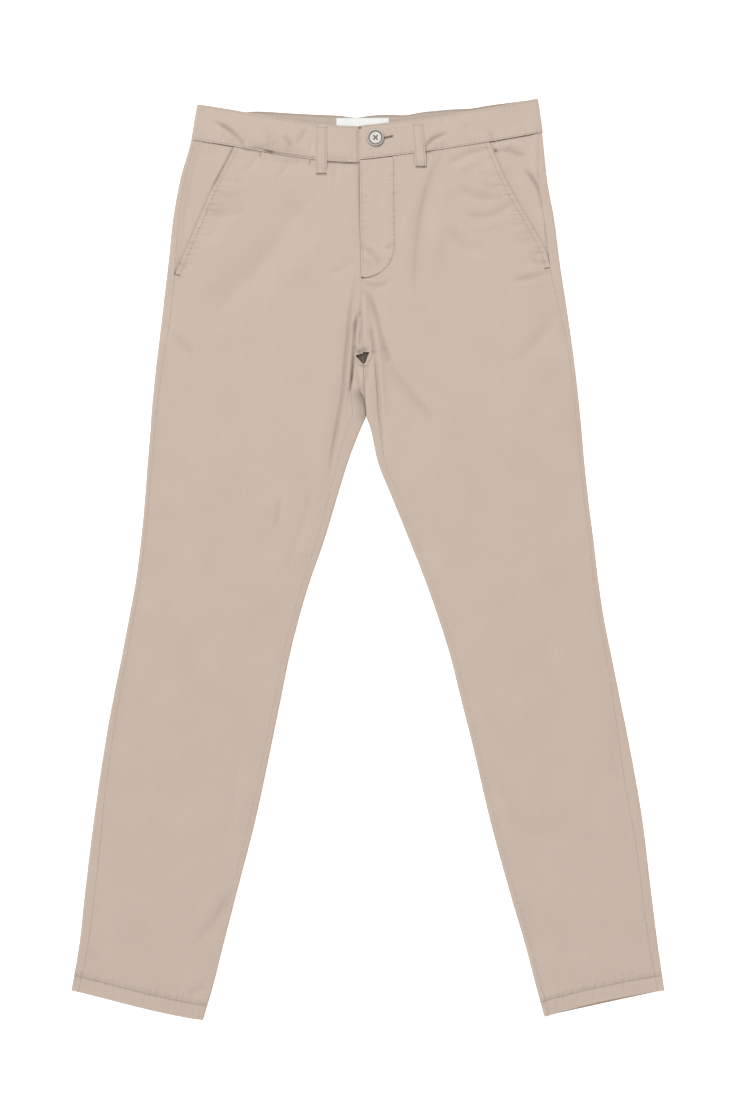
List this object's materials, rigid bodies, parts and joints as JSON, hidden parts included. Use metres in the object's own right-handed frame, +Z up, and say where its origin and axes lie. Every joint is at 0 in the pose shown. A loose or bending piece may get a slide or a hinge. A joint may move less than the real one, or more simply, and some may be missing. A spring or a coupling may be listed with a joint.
{
  "type": "chino trousers",
  "caption": "Slim chino trousers in beige cotton twill, laid flat on their back: waistband with button and belt loops, topstitched fly, slanted front pockets and tapered legs",
  "frame": {"origin": "middle of the bounding box, on the surface that the trousers lie on", "axes": "+Z up from the surface through the front of the trousers, +Y from the hems to the waist, +X to the wearer's left"},
  "size_m": [0.698, 1.084, 0.0128],
  "materials": {
    "twill": "matt cotton twill",
    "button": "polished pearl-like resin",
    "label": "smooth woven"
  },
  "bodies": {
    "root": {"front_right": "twill", "front_left": "twill", "back_right": "twill", "back_left": "twill", "waistband_right": "twill", "waistband_left": "twill", "pocket_facing_right": "twill", "pocket_facing_left": "twill", "fly_placket": "twill", "belt_loop_front_right": "twill", "belt_loop_front_left": "twill", "belt_loop_back_right": "twill", "belt_loop_back_centre": "twill", "belt_loop_back_left": "twill", "button": "button", "label": "label"}
  },
  "joints": []
}
